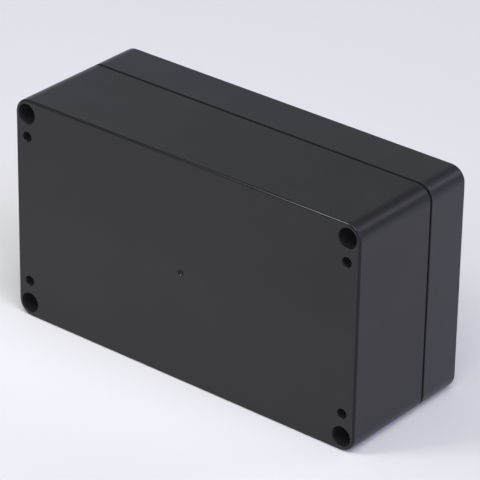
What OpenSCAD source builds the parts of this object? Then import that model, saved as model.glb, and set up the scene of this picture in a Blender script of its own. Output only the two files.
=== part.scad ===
// Plastic project box: a deep base and a shallower lid, closed by four lid
// screws in the corners, with a seal ring under the lid.
//
// Frame: X along the length, Y through the depth (the base's back is at -Y,
// the lid's face at +Y), Z up. The box stands on one long side; the origin is
// under its middle, on the plane it stands on.
// Left is -X, right is +X, top is +Z, bottom is -Z.

/* [Box] */
// Length of the box
box_l = 158; // [120:1:200]
// Height of the box as it stands, the short side of its face
box_h = 89.4; // [76:0.2:120]
// Depth of the base, from its back to the plane where the lid seats
base_d = 40; // [34:1:60]
// Depth of the lid, from the same plane to its face
lid_d = 20.4; // [19:0.2:30]
// Radius of the four long corners
corner_r = 6; // [4:0.5:8]
// Radius round the edge of the base's back
back_edge_r = 0.8; // [0.4:0.1:1.5]
// Radius round the edge of the lid's face
face_edge_r = 1.0; // [0.4:0.1:1.5]

/* [Walls] */
// Thickness of the side walls
wall = 2.8; // [2.6:0.1:3.4]
// Thickness of the base's back
back_t = 3; // [2:0.2:5]
// Thickness of the lid's face
face_t = 3; // [2:0.2:4]
// Radius of the corners inside the box
inner_r = 2; // [1.6:0.2:3]

/* [Joint between base and lid] */
// Depth of the gap line that runs round the outside
gap_depth = 1.4; // [1:0.1:1.4]
// Step of the base's outer rim below the seating plane
rim_drop = 0.3; // [0.1:0.1:0.6]
// Step of the lid's outer rim above the seating plane
rim_lift = 0.8; // [0.2:0.1:1.5]
// Thickness of the base's tongue
tongue_t = 1.4; // [1:0.1:1.6]
// Height of the tongue above the seating plane
tongue_h = 2; // [1:0.1:3]
// Clearance between the tongue and the lid's groove on each side
tongue_gap = 0.2; // [0.1:0.05:0.4]
// Thickness of the lid's inner lip
lip_t = 1; // [0.8:0.1:1.4]
// Reach of the inner lip into the base
lip_h = 1.2; // [0.5:0.1:2]
// Thickness of the closed seal
seal_t = 2; // [1:0.1:3]

/* [Corner columns] */
// Length of a corner column along X
column_l = 10.8; // [10.8:0.1:13]
// Length of a corner column along Z
column_h = 20.4; // [20.2:0.1:24]
// Lid screw axis from the short side's outer face
screw_x = 5.42; // [5.2:0.02:6]
// Lid screw axis from the long side's outer face
screw_z = 5.65; // [5.4:0.05:6]
// Radius of the blind well in the back, behind each lid screw
well_r = 3.9; // [3:0.1:4]
// Depth of the blind well in the back
well_depth = 24; // [8:1:26]
// Width of the broken edge at the mouths of the holes
mouth_c = 0.15; // [0.05:0.05:0.3]

/* [Wall mounting holes] */
// Hole axis from the short side's outer face
mount_x = 5.44; // [5.2:0.02:6]
// Hole axis from the long side's outer face
mount_z = 14.87; // [14.6:0.01:15.2]
// Radius of the hole through the back
mount_r = 1.97; // [1.5:0.01:2.2]
// Thickness of the web the mounting screw clamps
mount_web = 4; // [2:0.5:8]
// Radius of the channel that leads to it from the front
channel_r = 3.5; // [3:0.1:3.5]

/* [Lid screws] */
// Depth of the screw head's seat below the lid's face
head_depth = 10; // [5:0.5:12]
// Radius of the screw wells in the lid's face
lid_well_r = 3.9; // [3.7:0.1:4]
// Radius of the clearance hole for the screw
clear_r = 2.25; // [2.1:0.05:2.4]
// Radius of the screw head
head_r = 3.5; // [3:0.1:3.6]
// Height of the screw head
head_h = 2.6; // [2:0.1:3]
// Length of the screw under its head
screw_len = 20; // [18:1:21]
// Radius of the screw at the root of its thread
screw_core_r = 1.62; // [1.4:0.01:1.7]

/* [Threaded inserts] */
// Outer radius of an insert
insert_r = 2.78; // [2.5:0.01:2.8]
// Radius of the insert's bore, at the crests of the screw's thread
insert_bore_r = 2.03; // [2:0.01:2.1]
// Length of an insert
insert_len = 8.5; // [6:0.5:9]
// Depth of its top below the seating plane
insert_sunk = 0.3; // [0.1:0.1:1]

/* [Board posts] */
// Distance between the posts along X
post_dx = 120; // [90:1:120]
// Distance between the posts along Z
post_dz = 68; // [50:1:68]
// Radius of a post
post_r = 3.5; // [3:0.1:4]
// Height of a post above the inside of the back
post_h = 5; // [3:0.5:10]
// Radius of a post's pilot hole
pilot_r = 1.25; // [1:0.05:1.5]

/* [Moulding mark] */
// Offset of the mark along X from the middle of the back
mark_x = -0.1; // [-5:0.1:5]
// Offset of the mark along Z from the middle of the back
mark_z = -0.4; // [-5:0.1:5]
// Radius of the mark
mark_r = 1.4; // [1.2:0.1:2]

/* [Hidden] */

$fn = 64;
depth = base_d + lid_d;
groove_top = base_d + tongue_h + seal_t;
seat_w = depth - head_depth;
e = 0.01;

moulded = [0.235, 0.235, 0.245];
rubber = [0.09, 0.09, 0.095];
brass = [0.80, 0.62, 0.30];
zinc = [0.72, 0.73, 0.75];

// ---- placing ------------------------------------------------------------
// The pieces are drawn lying on their back: x along the length, y across,
// z from the back (0) to the lid's face (depth). This stands them up.
module stand() {
    translate([0, -depth/2, box_h/2]) rotate([-90, 0, 0]) children();
}

// left: side = -1, right: side = 1; top: level = 1, bottom: level = -1
module at_screw(side, level) {
    translate([side*(box_l/2 - screw_x), -level*(box_h/2 - screw_z), 0]) children();
}

module at_screws() {
    for (side = [-1, 1], level = [-1, 1]) at_screw(side, level) children();
}

module at_mounts() {
    for (side = [-1, 1], level = [-1, 1])
        translate([side*(box_l/2 - mount_x), level*(box_h/2 - mount_z), 0]) children();
}

module at_posts() {
    for (side = [-1, 1], level = [-1, 1])
        translate([side*post_dx/2, level*post_dz/2, 0]) children();
}

// ---- outlines -----------------------------------------------------------
module rounded(lx, ly, r) {
    square([lx - 2*r, ly], center = true);
    square([lx, ly - 2*r], center = true);
    for (sx = [-1, 1], sy = [-1, 1])
        translate([sx*(lx/2 - r), sy*(ly/2 - r)]) circle(r);
}

// the inside of the box between its corner columns, grown by d
module inside(d) {
    rounded(box_l - 2*wall + 2*d, box_h - 2*column_h + 2*d, inner_r + d);
    rounded(box_l - 2*column_l + 2*d, box_h - 2*wall + 2*d, inner_r + d);
}

// section of a wall from the corner's centre line outwards: the face's edge
// radius at y = 0, the rim's edge radius at y = h
module wall_section(h, r_face, r_rim) {
    translate([0, r_face]) square([corner_r, h - r_face - r_rim]);
    square([corner_r - r_face, h]);
    translate([0, h/2]) square([corner_r - r_rim, h/2]);
    translate([corner_r - r_face, r_face]) circle(r_face);
    translate([corner_r - r_rim, h - r_rim]) circle(r_rim);
}

// a closed block with the box's outline, face down
module block(h, r_face, r_rim) {
    translate([-box_l/2 + corner_r, -box_h/2 + corner_r, 0])
        cube([box_l - 2*corner_r, box_h - 2*corner_r, h]);
    for (i = [0:3]) {
        a = i % 2 == 0 ? box_l : box_h;
        b = i % 2 == 0 ? box_h : box_l;
        rotate([0, 0, 90*i]) translate([a/2 - corner_r, b/2 - corner_r, 0]) {
            rotate_extrude(angle = 90) wall_section(h, r_face, r_rim);
            rotate([90, 0, 0]) linear_extrude(b - 2*corner_r) wall_section(h, r_face, r_rim);
        }
    }
}

// a round hole from z = 0 upwards with its mouth's edge broken
module hole(r, h) {
    translate([0, 0, -1]) cylinder(r = r, h = h + 1);
    translate([0, 0, -e]) cylinder(r1 = r + mouth_c + e, r2 = r, h = mouth_c + e);
}

// ---- base ---------------------------------------------------------------
module base() {
    color(moulded) stand() difference() {
        union() {
            difference() {
                union() {
                    block(base_d - rim_drop, back_edge_r, 0.2);
                    // pads on the corner columns, where the lid seats
                    translate([0, 0, base_d - 2]) linear_extrude(2)
                        rounded(box_l - 2*gap_depth, box_h - 2*gap_depth, corner_r - gap_depth);
                    // tongue
                    translate([0, 0, base_d - 2]) linear_extrude(2 + tongue_h) inside(tongue_t);
                }
                translate([0, 0, back_t]) linear_extrude(depth) inside(0);
            }
            at_posts() translate([0, 0, back_t - 1]) cylinder(r = post_r, h = post_h + 1);
        }
        at_screws() {
            hole(well_r, well_depth);
            // seat of the threaded insert, and room for the screw's tip below it
            translate([0, 0, base_d - insert_sunk - insert_len]) cylinder(r = 2.8, h = depth);
            translate([0, 0, well_depth + 4]) cylinder(r = 2.2, h = depth);
        }
        at_mounts() {
            hole(mount_r, depth);
            translate([0, 0, mount_web]) cylinder(r = channel_r, h = depth);
        }
        at_posts() translate([0, 0, back_t - 1]) cylinder(r = pilot_r, h = depth);
        // sunk mark left by the moulding gate, with the gate's stub in it
        translate([mark_x, -mark_z, -e]) difference() {
            cylinder(r1 = mark_r, r2 = mark_r - 0.85, h = 0.85);
            translate([0, 0, 0.25]) cylinder(r1 = 0.25, r2 = 0.4, h = 1);
        }
    }
}

// ---- lid ----------------------------------------------------------------
module lid() {
    color(moulded) stand() difference() {
        union() {
            difference() {
                union() {
                    translate([0, 0, depth]) mirror([0, 0, 1])
                        block(lid_d - rim_lift, face_edge_r, 0.25);
                    // pads that seat on the base's corner columns
                    translate([0, 0, base_d]) linear_extrude(2)
                        rounded(box_l - 2*gap_depth, box_h - 2*gap_depth, corner_r - gap_depth);
                }
                // groove for the tongue and the seal
                linear_extrude(groove_top) inside(tongue_t + tongue_gap);
            }
            // inner lip
            translate([0, 0, base_d - lip_h])
                linear_extrude(lid_d - face_t + lip_h + 1) inside(-tongue_gap);
        }
        translate([0, 0, base_d - lip_h - 1])
            linear_extrude(lid_d - face_t + lip_h + 1) inside(-tongue_gap - lip_t);
        at_screws() {
            cylinder(r = clear_r, h = 2*depth);
            translate([0, 0, depth]) mirror([0, 0, 1]) hole(lid_well_r, head_depth);
        }
        // cored out above the mounting screws, to keep the wall even
        at_mounts() translate([0, 0, base_d - 1]) cylinder(r = 3, h = lid_d - face_t);
    }
}

// ---- seal ---------------------------------------------------------------
module seal() {
    color(rubber) stand() translate([0, 0, base_d + tongue_h]) linear_extrude(seal_t)
        difference() {
            inside(tongue_t + tongue_gap - 0.1);
            inside(-tongue_gap + 0.1);
        }
}

// ---- threaded insert ----------------------------------------------------
module insert(side, level) {
    w0 = base_d - insert_sunk - insert_len;
    color(brass) stand() at_screw(side, level) translate([0, 0, w0]) rotate_extrude()
        polygon([[insert_bore_r, 0.4], [insert_bore_r + 0.3, 0], [insert_r - 0.3, 0],
                 [insert_r, 0.3], [insert_r, insert_len/2 - 0.6], [insert_r - 0.3, insert_len/2 - 0.4],
                 [insert_r - 0.3, insert_len/2 + 0.4], [insert_r, insert_len/2 + 0.6],
                 [insert_r, insert_len], [insert_bore_r + 0.3, insert_len],
                 [insert_bore_r, insert_len - 0.4]]);
}

// ---- lid screw ----------------------------------------------------------
module head_section() {
    square([head_r, head_h - 1]);
    square([head_r - 1, head_h]);
    translate([head_r - 1, head_h - 1]) circle(1);
}

module lid_screw(side, level) {
    color(zinc) stand() at_screw(side, level) translate([0, 0, seat_w]) difference() {
        union() {
            rotate_extrude() intersection() {
                head_section();
                square([head_r, head_h]);
            }
            translate([0, 0, -screw_len + 0.8]) cylinder(r = screw_core_r, h = screw_len);
            translate([0, 0, -screw_len]) cylinder(r1 = screw_core_r - 0.6, r2 = screw_core_r, h = 0.8);
        }
        // cross recess
        for (a = [0, 90]) rotate([0, 0, a + 45])
            translate([-2.1, -0.45, head_h - 1.5]) cube([4.2, 0.9, 2]);
        translate([0, 0, head_h - 2]) cylinder(r1 = 0.4, r2 = 1.2, h = 2.1);
    }
}

base();
lid();
seal();
insert(-1, 1);  // insert_top_left
insert(1, 1);  // insert_top_right
insert(-1, -1);  // insert_bottom_left
insert(1, -1);  // insert_bottom_right
lid_screw(-1, 1);  // lid_screw_top_left
lid_screw(1, 1);  // lid_screw_top_right
lid_screw(-1, -1);  // lid_screw_bottom_left
lid_screw(1, -1);  // lid_screw_bottom_right
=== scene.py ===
import math

import bmesh
import bpy
from mathutils import Matrix, Quaternion, Vector


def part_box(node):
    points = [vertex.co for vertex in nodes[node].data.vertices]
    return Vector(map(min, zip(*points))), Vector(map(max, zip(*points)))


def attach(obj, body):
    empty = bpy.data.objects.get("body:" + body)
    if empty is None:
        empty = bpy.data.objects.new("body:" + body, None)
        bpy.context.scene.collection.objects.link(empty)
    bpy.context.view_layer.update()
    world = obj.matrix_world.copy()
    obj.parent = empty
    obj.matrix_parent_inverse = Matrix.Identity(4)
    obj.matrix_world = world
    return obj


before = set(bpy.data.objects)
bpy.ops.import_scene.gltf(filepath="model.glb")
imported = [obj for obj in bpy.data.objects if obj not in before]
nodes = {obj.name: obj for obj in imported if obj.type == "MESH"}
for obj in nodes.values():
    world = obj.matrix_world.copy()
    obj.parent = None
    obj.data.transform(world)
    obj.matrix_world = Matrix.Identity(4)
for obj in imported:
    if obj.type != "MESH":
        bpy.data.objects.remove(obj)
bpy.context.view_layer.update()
scene = bpy.context.scene
MM = 0.001


# ---------------------------------------------------------------------------
# camera
# ---------------------------------------------------------------------------
cam_data = bpy.data.cameras.new("camera")
cam_data.sensor_width = 36.0
cam_data.lens = 240.494
cam_data.clip_start = 0.05
cam_data.clip_end = 60.0
cam = bpy.data.objects.new("camera", cam_data)
scene.collection.objects.link(cam)
cam.rotation_mode = "QUATERNION"
cam.location = (0.647096, -0.795940, 0.588140)
cam.rotation_quaternion = Quaternion((0.8050757, 0.4877681, 0.1682462, 0.2926238))
scene.camera = cam


# ---------------------------------------------------------------------------
# helpers for node materials
# ---------------------------------------------------------------------------
class Tree:
    """A short way to build a shader tree."""

    def __init__(self, name):
        self.mat = bpy.data.materials.new(name)
        self.mat.use_nodes = True
        self.nt = self.mat.node_tree
        self.nt.nodes.clear()
        self.out = self.nt.nodes.new("ShaderNodeOutputMaterial")
        self.bsdf = self.nt.nodes.new("ShaderNodeBsdfPrincipled")
        self.link(self.bsdf.outputs[0], self.out.inputs[0])
        self.coord = self.nt.nodes.new("ShaderNodeTexCoord").outputs["Object"]

    def link(self, a, b):
        self.nt.links.new(a, b)

    def feed(self, value, socket):
        if isinstance(value, bpy.types.NodeSocket):
            self.link(value, socket)
        else:
            socket.default_value = value

    def math(self, op, a, b=0.0, c=0.0, clamp=False):
        n = self.nt.nodes.new("ShaderNodeMath")
        n.operation = op
        n.use_clamp = clamp
        for i, v in enumerate((a, b, c)):
            self.feed(v, n.inputs[i])
        return n.outputs[0]

    def noise(self, scale, detail=2.0, rough=0.5, vector=None, distortion=0.0):
        n = self.nt.nodes.new("ShaderNodeTexNoise")
        n.inputs["Scale"].default_value = scale
        n.inputs["Detail"].default_value = detail
        n.inputs["Roughness"].default_value = rough
        n.inputs["Distortion"].default_value = distortion
        self.link(vector or self.coord, n.inputs["Vector"])
        return n.outputs["Fac"]

    def voronoi(self, scale, vector=None):
        n = self.nt.nodes.new("ShaderNodeTexVoronoi")
        n.inputs["Scale"].default_value = scale
        self.link(vector or self.coord, n.inputs["Vector"])
        return n.outputs["Distance"]

    def remap(self, value, a, b, c, d, smooth=False):
        n = self.nt.nodes.new("ShaderNodeMapRange")
        if smooth:
            n.interpolation_type = "SMOOTHSTEP"
        self.link(value, n.inputs["Value"])
        for name, v in (("From Min", a), ("From Max", b), ("To Min", c), ("To Max", d)):
            n.inputs[name].default_value = v
        return n.outputs["Result"]

    def mix(self, fac, a, b):
        n = self.nt.nodes.new("ShaderNodeMix")
        n.data_type = "RGBA"
        self.feed(fac, n.inputs[0])
        for v, s in ((a, n.inputs[6]), (b, n.inputs[7])):
            if isinstance(v, bpy.types.NodeSocket):
                self.link(v, s)
            else:
                s.default_value = (*v, 1.0)
        return n.outputs[2]

    def bump(self, height, strength, distance, normal=None):
        n = self.nt.nodes.new("ShaderNodeBump")
        n.inputs["Strength"].default_value = strength
        n.inputs["Distance"].default_value = distance
        self.link(height, n.inputs["Height"])
        if normal is not None:
            self.link(normal, n.inputs["Normal"])
        return n.outputs["Normal"]

    def edge(self, radius):
        """(rounded normal, mask of the edges) from a bevel of that radius."""
        b = self.nt.nodes.new("ShaderNodeBevel")
        b.samples = 6
        b.inputs["Radius"].default_value = radius
        g = self.nt.nodes.new("ShaderNodeNewGeometry")
        d = self.nt.nodes.new("ShaderNodeVectorMath")
        d.operation = "DOT_PRODUCT"
        self.link(b.outputs[0], d.inputs[0])
        self.link(g.outputs["Normal"], d.inputs[1])
        return b.outputs[0], self.remap(d.outputs["Value"], 0.99, 0.75, 0.0, 1.0)

    def separate(self, vector):
        n = self.nt.nodes.new("ShaderNodeSeparateXYZ")
        self.link(vector, n.inputs[0])
        return n.outputs

    def shifted(self, origin):
        n = self.nt.nodes.new("ShaderNodeVectorMath")
        n.operation = "SUBTRACT"
        self.link(self.coord, n.inputs[0])
        n.inputs[1].default_value = origin
        return n.outputs[0]


def moulded_abs(name, shade, rough, ior, outer_y, fillet, rim):
    """Satin black ABS from a spark-eroded mould: fine even grain, a little flow
    mottling in shade and gloss, and edges rubbed slightly paler. The rounded
    edge round the outer face, at outer_y, came from the polished part of the
    mould, so it is glossier than the rest. The surfaces between the two Y values
    of rim, in the joint between base and lid, are made rougher and duller, and their
    colour is darkened to 0.30 as painted shade standing in for the shadow in the gap."""
    t = Tree(name)
    x, y, z = t.separate(t.coord)
    nx, ny, nz = t.separate(t.nt.nodes.new("ShaderNodeTexCoord").outputs["Normal"])
    near = t.remap(t.math("ABSOLUTE", t.math("SUBTRACT", y, outer_y)), fillet * 0.9, fillet * 1.15, 1.0, 0.0, True)
    polish = t.math("MULTIPLY", near, t.remap(t.math("ABSOLUTE", ny), 0.999, 0.97, 0.0, 1.0, True))
    rounded, edges = t.edge(0.00022)
    mottle = t.noise(38.0, 3.0, 0.55, distortion=0.4)
    speck = t.noise(1500.0, 2.0, 0.6)
    deep = tuple(c * 0.93 for c in shade)
    pale = tuple(c * 1.08 for c in shade)
    col = t.mix(t.remap(mottle, 0.3, 0.7, 0.0, 1.0), deep, pale)
    col = t.mix(t.remap(speck, 0.58, 0.80, 0.0, 0.35), col, tuple(c * 1.35 for c in shade))
    # painted shade: the faces inside the joint between base and lid get their colour cut to 0.30 of the shade,
    # standing in for the shadow of the gap; the same mask also raises their roughness
    joint_painted_shade_and_dull = t.math("MULTIPLY", t.remap(y, rim[0], rim[0] + 0.00005, 0.0, 1.0), t.remap(y, rim[1], rim[1] + 0.00005, 1.0, 0.0))
    col = t.mix(joint_painted_shade_and_dull, col, tuple(c * 0.30 for c in shade))
    worn = tuple(c * 1.5 for c in shade)
    rub = t.math("MULTIPLY", edges, t.remap(t.noise(260.0, 3.0, 0.6), 0.35, 0.75, 0.12, 0.6))
    col = t.mix(rub, col, worn)
    t.link(col, t.bsdf.inputs["Base Color"])
    r = t.remap(t.noise(55.0, 4.0, 0.6), 0.25, 0.75, rough - 0.03, rough + 0.04)
    r = t.math("ADD", r, t.remap(speck, 0.3, 0.7, -0.02, 0.03))
    r = t.math("SUBTRACT", r, t.math("MULTIPLY", rub, 0.08))
    r = t.math("SUBTRACT", r, t.math("MULTIPLY", polish, rough - 0.17))
    r = t.math("ADD", r, t.math("MULTIPLY", joint_painted_shade_and_dull, 0.3), clamp=True)
    t.link(r, t.bsdf.inputs["Roughness"])
    t.bsdf.inputs["IOR"].default_value = ior
    # the upright stretches of the rounded edge mirror less: handling has dulled them
    upright = t.math("MULTIPLY", polish, t.remap(t.math("ABSOLUTE", nz), 0.3, 0.7, 1.0, 0.0, True))
    t.link(t.math("SUBTRACT", 0.5, t.math("MULTIPLY", upright, 0.30)), t.bsdf.inputs["Specular IOR Level"])
    # a faint unevenness of the wall, then the mould's grain on it
    n = t.bump(t.noise(24.0, 1.0, 0.4), 0.10, 0.0004, rounded)
    n = t.bump(t.noise(2600.0, 2.0, 0.6), 0.16, 0.00002, n)
    n = t.bump(t.voronoi(5200.0), 0.10, 0.00001, n)
    t.link(n, t.bsdf.inputs["Normal"])
    return t.mat


def seal_rubber():
    t = Tree("seal_rubber")
    rounded, edges = t.edge(0.0003)
    m = t.noise(180.0, 3.0, 0.6)
    col = t.mix(t.remap(m, 0.3, 0.7, 0.0, 1.0), (0.010, 0.010, 0.011), (0.017, 0.017, 0.018))
    col = t.mix(t.math("MULTIPLY", edges, 0.3), col, (0.035, 0.035, 0.036))
    t.link(col, t.bsdf.inputs["Base Color"])
    t.link(t.remap(t.noise(400.0, 2.0, 0.5), 0.3, 0.7, 0.58, 0.74), t.bsdf.inputs["Roughness"])
    n = t.bump(t.noise(1800.0, 3.0, 0.6), 0.25, 0.00003, rounded)
    t.link(n, t.bsdf.inputs["Normal"])
    return t.mat


def insert_brass(name, centre):
    """Turned brass with a diamond knurl round its outside."""
    t = Tree(name)
    rounded, edges = t.edge(0.00012)
    x, y, z = t.separate(t.shifted(centre))
    radius = t.math("SQRT", t.math("ADD", t.math("MULTIPLY", x, x), t.math("MULTIPLY", z, z)))
    angle = t.math("ARCTAN2", z, x)
    turn = t.math("MULTIPLY", angle, 14.0)
    lift = t.math("MULTIPLY", y, 5200.0)
    a = t.math("SINE", t.math("ADD", turn, lift))
    b = t.math("SINE", t.math("SUBTRACT", turn, lift))
    outside = t.remap(radius, 0.00255, 0.00270, 0.0, 1.0)
    knurl = t.math("MULTIPLY", t.math("MAXIMUM", a, b), outside)
    rings = t.math("SINE", t.math("MULTIPLY", radius, 90000.0))
    tarnish = t.noise(420.0, 3.0, 0.6)
    col = t.mix(t.remap(tarnish, 0.35, 0.7, 0.0, 1.0), (0.74, 0.53, 0.23), (0.55, 0.36, 0.14))
    col = t.mix(t.math("MULTIPLY", edges, 0.5), col, (0.88, 0.70, 0.36))
    t.link(col, t.bsdf.inputs["Base Color"])
    t.bsdf.inputs["Metallic"].default_value = 1.0
    t.link(t.remap(tarnish, 0.3, 0.7, 0.22, 0.36), t.bsdf.inputs["Roughness"])
    n = t.bump(knurl, 0.6, 0.0001, rounded)
    n = t.bump(rings, 0.10, 0.00001, n)
    t.link(n, t.bsdf.inputs["Normal"])
    return t.mat


def screw_zinc(name, centre):
    """Bright zinc-plated steel, with faint turning rings on the head."""
    t = Tree(name)
    rounded, edges = t.edge(0.00012)
    x, y, z = t.separate(t.shifted(centre))
    radius = t.math("SQRT", t.math("ADD", t.math("MULTIPLY", x, x), t.math("MULTIPLY", z, z)))
    rings = t.math("SINE", t.math("MULTIPLY", radius, 60000.0))
    cloud = t.noise(320.0, 3.0, 0.6)
    col = t.mix(t.remap(cloud, 0.3, 0.7, 0.0, 1.0), (0.60, 0.61, 0.64), (0.48, 0.49, 0.53))
    col = t.mix(t.math("MULTIPLY", edges, 0.5), col, (0.78, 0.79, 0.81))
    t.link(col, t.bsdf.inputs["Base Color"])
    t.bsdf.inputs["Metallic"].default_value = 1.0
    t.link(t.remap(cloud, 0.3, 0.7, 0.22, 0.38), t.bsdf.inputs["Roughness"])
    n = t.bump(rings, 0.08, 0.00001, rounded)
    n = t.bump(t.noise(2400.0, 2.0, 0.6), 0.10, 0.00001, n)
    t.link(n, t.bsdf.inputs["Normal"])
    return t.mat


def dress(obj, mat):
    obj.data.materials.clear()
    obj.data.materials.append(mat)


# ---------------------------------------------------------------------------
# materials on the CAD nodes
# ---------------------------------------------------------------------------
CORNERS = ("top_left", "top_right", "bottom_left", "bottom_right")
# where the outside ends and the joint between base and lid begins, in Y
BASE_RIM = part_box("base")[1].y - 2.32 * MM
LID_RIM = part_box("lid")[1].y - 19.58 * MM
dress(nodes["base"], moulded_abs("moulded_abs", (0.0112, 0.0113, 0.0130), 0.40, 1.386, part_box("base")[0].y, 0.8 * MM, (BASE_RIM, 1.0)))
dress(nodes["lid"], moulded_abs("moulded_abs_lid", (0.0125, 0.0125, 0.0156), 0.40, 1.43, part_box("lid")[1].y, 1.0 * MM, (-1.0, LID_RIM)))
dress(nodes["seal"], seal_rubber())


def middle(node):
    lo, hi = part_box(node)
    return (lo + hi) / 2


for c in CORNERS:
    dress(nodes["insert_" + c], insert_brass("insert_brass_" + c, middle("insert_" + c)))
    dress(nodes["lid_screw_" + c], screw_zinc("screw_steel_" + c, middle("lid_screw_" + c)))


# ---------------------------------------------------------------------------
# threads: one closed ridge wound round each screw, one inside each insert
# ---------------------------------------------------------------------------
PITCH = 0.7 * MM
STEPS = 36


def ridge(name, x, z, y0, y1, r_root, r_crest, half_root, half_crest, phase, mat, body):
    """A screw thread's ridge as one closed strip, fading out at both ends."""
    turns = (y1 - y0) / PITCH
    count = int(turns * STEPS)
    bm = bmesh.new()
    rings = []
    for i in range(count + 1):
        f = i / count
        a = 2 * math.pi * turns * f + phase
        fade = min(1.0, f * turns / 0.8, (1 - f) * turns / 0.8)
        r = r_root + (r_crest - r_root) * max(fade, 0.04)
        y = y0 + (y1 - y0) * f
        ring = []
        for rad, dy in ((r_root, -half_root), (r, -half_crest), (r, half_crest), (r_root, half_root)):
            ring.append(bm.verts.new((x + rad * math.cos(a), y + dy, z - rad * math.sin(a))))
        rings.append(ring)
    for p, q in zip(rings, rings[1:]):
        for k in range(4):
            bm.faces.new((p[k], p[(k + 1) % 4], q[(k + 1) % 4], q[k]))
    bm.faces.new(rings[0])
    bm.faces.new(rings[-1][::-1])
    bmesh.ops.recalc_face_normals(bm, faces=bm.faces[:])
    me = bpy.data.meshes.new(name)
    bm.to_mesh(me)
    bm.free()
    for p in me.polygons:
        p.use_smooth = False
    o = bpy.data.objects.new(name, me)
    scene.collection.objects.link(o)
    me.materials.append(mat)
    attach(o, body)
    return o


for c in CORNERS:
    s_lo, s_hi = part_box("lid_screw_" + c)
    i_lo, i_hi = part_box("insert_" + c)
    mid = middle("insert_" + c)
    start, end = s_lo.y + 0.7 * MM, s_lo.y + 18.6 * MM
    ridge("thread_" + c, mid.x, mid.z, start, end, 1.52 * MM, 1.98 * MM, 0.33 * MM, 0.05 * MM, 0.0,
          nodes["lid_screw_" + c].data.materials[0], "lid_screw_" + c)
    # the insert's ridge runs half a pitch off the screw's, so the two mesh
    y0 = i_lo.y + 0.55 * MM
    phase = 2 * math.pi * ((y0 - start) / PITCH) + math.pi
    ridge("insert_thread_" + c, mid.x, mid.z, y0, i_hi.y - 0.55 * MM, 2.12 * MM, 1.70 * MM, 0.33 * MM, 0.05 * MM,
          phase, nodes["insert_" + c].data.materials[0], "base")


# ---------------------------------------------------------------------------
# floor
# ---------------------------------------------------------------------------
def floor():
    me = bpy.data.meshes.new("floor")
    s = 30.0
    me.from_pydata([(-s, -s, 0), (s, -s, 0), (s, s, 0), (-s, s, 0)], [], [(0, 1, 2, 3)])
    o = bpy.data.objects.new("floor", me)
    scene.collection.objects.link(o)
    t = Tree("floor")
    t.bsdf.inputs["Base Color"].default_value = (0.80, 0.80, 0.805, 1.0)
    t.bsdf.inputs["Roughness"].default_value = 0.9
    t.bsdf.inputs["Specular IOR Level"].default_value = 0.1
    me.materials.append(t.mat)
    return o


floor()


# ---------------------------------------------------------------------------
# studio: a dim room with soft panels, drawn in the world, and one near strip
# ---------------------------------------------------------------------------
def direction(azimuth, elevation):
    """Unit vector; azimuth 0 is -Y, the side of the box's back, and 90 is +X."""
    a, e = math.radians(azimuth), math.radians(elevation)
    return Vector((math.sin(a) * math.cos(e), -math.cos(a) * math.cos(e), math.sin(e)))


def studio(ambient, panels):
    """Each panel is a soft-edged disc: azimuth, elevation, half angle, softness, radiance."""
    world = bpy.data.worlds.new("studio")
    scene.world = world
    world.use_nodes = True
    nt = world.node_tree
    nt.nodes.clear()
    out = nt.nodes.new("ShaderNodeOutputWorld")
    bg = nt.nodes.new("ShaderNodeBackground")
    nt.links.new(bg.outputs[0], out.inputs[0])
    coord = nt.nodes.new("ShaderNodeTexCoord").outputs["Generated"]
    total = None
    for az, el, half, soft, level in panels:
        dot = nt.nodes.new("ShaderNodeVectorMath")
        dot.operation = "DOT_PRODUCT"
        nt.links.new(coord, dot.inputs[0])
        dot.inputs[1].default_value = direction(az, el)
        m = nt.nodes.new("ShaderNodeMapRange")
        m.interpolation_type = "SMOOTHSTEP"
        nt.links.new(dot.outputs["Value"], m.inputs["Value"])
        m.inputs["From Min"].default_value = math.cos(math.radians(half + soft))
        m.inputs["From Max"].default_value = math.cos(math.radians(half - soft))
        m.inputs["To Min"].default_value = 0.0
        m.inputs["To Max"].default_value = 1.0
        add = nt.nodes.new("ShaderNodeVectorMath")
        add.operation = "MULTIPLY_ADD"
        nt.links.new(m.outputs["Result"], add.inputs[0])
        add.inputs[1].default_value = level
        if total is None:
            add.inputs[2].default_value = ambient
        else:
            nt.links.new(total, add.inputs[2])
        total = add.outputs[0]
    nt.links.new(total, bg.inputs["Color"])
    bg.inputs["Strength"].default_value = 1.0


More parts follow.
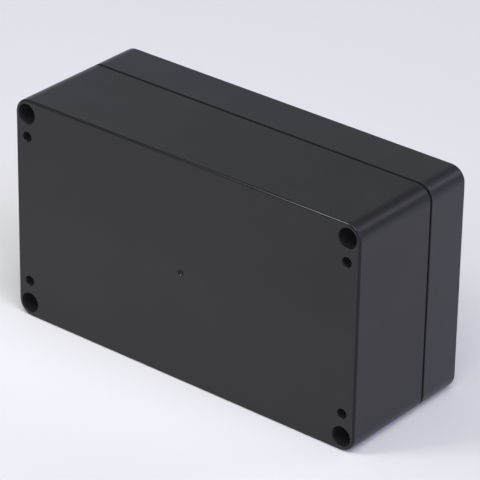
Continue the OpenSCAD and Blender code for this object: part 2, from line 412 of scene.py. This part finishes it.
studio((0.046, 0.046, 0.056), [
    (0, 90, 20, 8, (1.02, 1.02, 0.94)),       # overhead
    (45, 60, 18, 8, (4.00, 4.05, 4.00)),      # key, high on the camera's side
    (88, 25, 15, 7, (3.10, 2.95, 4.60)),      # right
    (86, 8, 12, 6, (5.20, 5.10, 8.10)),       # right, low
    (180, 10, 12, 6, (1.10, 1.10, 1.50)),     # behind, low
    (-115, 8, 12, 6, (0.95, 1.00, 0.95)),     # left, low
    (148, 32, 7, 4, (4.60, 4.55, 4.70)),      # behind, right: the long corner's streak
    (214, 33, 7, 4, (0.98, 1.03, 1.02)),      # behind, left: seen in the top face
    (230, 14, 7, 4, (1.50, 1.50, 1.85)),      # behind, left, low
    (-47, 42, 20, 10, (0.46, 0.46, 0.47)),    # in front, left: dim, seen along the long top edge
])


def softbox(name, target, azimuth, elevation, distance, width, height, radiance):
    """A near rectangular light, its short side in line with the box's long edges
    unless width is the larger number."""
    light = bpy.data.lights.new(name, "AREA")
    light.shape = "RECTANGLE"
    light.size = width
    light.size_y = height
    light.energy = radiance * math.pi * width * height
    o = bpy.data.objects.new(name, light)
    scene.collection.objects.link(o)
    d = direction(azimuth, elevation)
    p = Vector(target) + d * distance
    y = Vector((-1, 0, 0)).cross(d).normalized()
    x = y.cross(d).normalized()
    o.matrix_world = Matrix(((x.x, y.x, d.x, p.x), (x.y, y.y, d.y, p.y), (x.z, y.z, d.z, p.z), (0, 0, 0, 1)))


# one picks out the right part of the long top edge, one fills the floor at the foot
softbox("strip", (0.066, -0.030, 0.089), -42, 42, 0.45, 0.085, 0.22, 12.2)
softbox("foot", (-0.010, -0.048, 0.0), 0, 90, 0.05, 0.20, 0.02, 0.65)

scene.view_settings.view_transform = "Standard"
scene.view_settings.look = "None"
scene.view_settings.exposure = 0.0
scene.view_settings.gamma = 1.0
# the faint veil that a bright backdrop leaves over dark things
scene.view_settings.use_curve_mapping = True
curves = scene.view_settings.curve_mapping
curves.black_level = (-0.004, -0.004, -0.0045)
curves.update()
